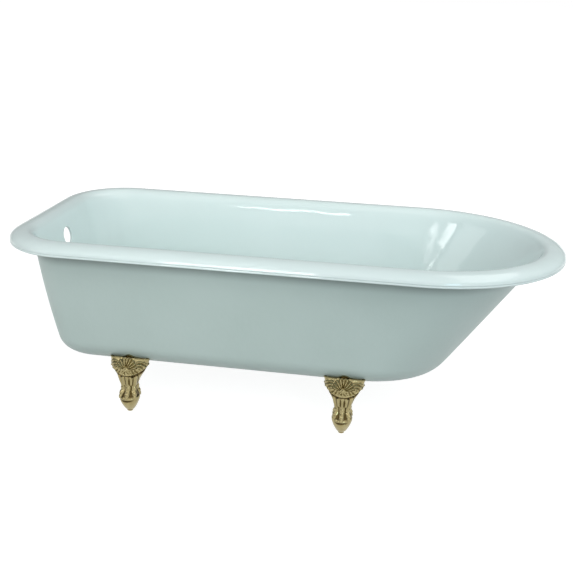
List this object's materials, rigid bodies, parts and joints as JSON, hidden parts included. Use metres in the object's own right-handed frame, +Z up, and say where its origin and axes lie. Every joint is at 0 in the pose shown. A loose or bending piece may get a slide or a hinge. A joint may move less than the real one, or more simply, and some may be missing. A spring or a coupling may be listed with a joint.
{
  "type": "bathtub",
  "caption": "Clawfoot bathtub: enamelled cast-iron basin with a rolled rim, upright drain end and sloping round head end, on ornate brass claw-and-ball feet with levelling glides.",
  "frame": {"origin": "on the floor, under the middle of the rim's length and width", "axes": "+Z up, +X towards the sloping round head end, -Y towards the long side that faces the picture's viewer"},
  "size_m": [1.676, 0.788, 0.576],
  "materials": {
    "enamelled_iron": "glossy white enamel inside and on the rim, satin pale paint outside",
    "polished_brass": "polished",
    "zinc_steel": "zinc-plated",
    "glide_brass": "turned"
  },
  "bodies": {
    "tub": {"tub_body": "enamelled_iron", "foot_drain_front": "polished_brass", "foot_drain_back": "polished_brass", "foot_head_front": "polished_brass", "foot_head_back": "polished_brass", "bolt_drain_front": "zinc_steel", "bolt_drain_back": "zinc_steel", "bolt_head_front": "zinc_steel", "bolt_head_back": "zinc_steel", "washer_drain_front": "zinc_steel", "washer_drain_back": "zinc_steel", "washer_head_front": "zinc_steel", "washer_head_back": "zinc_steel", "nut_drain_front": "zinc_steel", "nut_drain_back": "zinc_steel", "nut_head_front": "zinc_steel", "nut_head_back": "zinc_steel"},
    "drain_front_glide": {"glide_drain_front": "glide_brass"},
    "drain_back_glide": {"glide_drain_back": "glide_brass"},
    "head_front_glide": {"glide_head_front": "glide_brass"},
    "head_back_glide": {"glide_head_back": "glide_brass"}
  },
  "joints": [
    {"name": "glide_drain_front_slide", "type": "slide", "parent": "tub", "child": "drain_front_glide", "axis": [0, 0, -1], "range_m": [0, 0.012]},
    {"name": "glide_drain_back_slide", "type": "slide", "parent": "tub", "child": "drain_back_glide", "axis": [0, 0, -1], "range_m": [0, 0.012]},
    {"name": "glide_head_front_slide", "type": "slide", "parent": "tub", "child": "head_front_glide", "axis": [0, 0, -1], "range_m": [0, 0.012]},
    {"name": "glide_head_back_slide", "type": "slide", "parent": "tub", "child": "head_back_glide", "axis": [0, 0, -1], "range_m": [0, 0.012]}
  ]
}
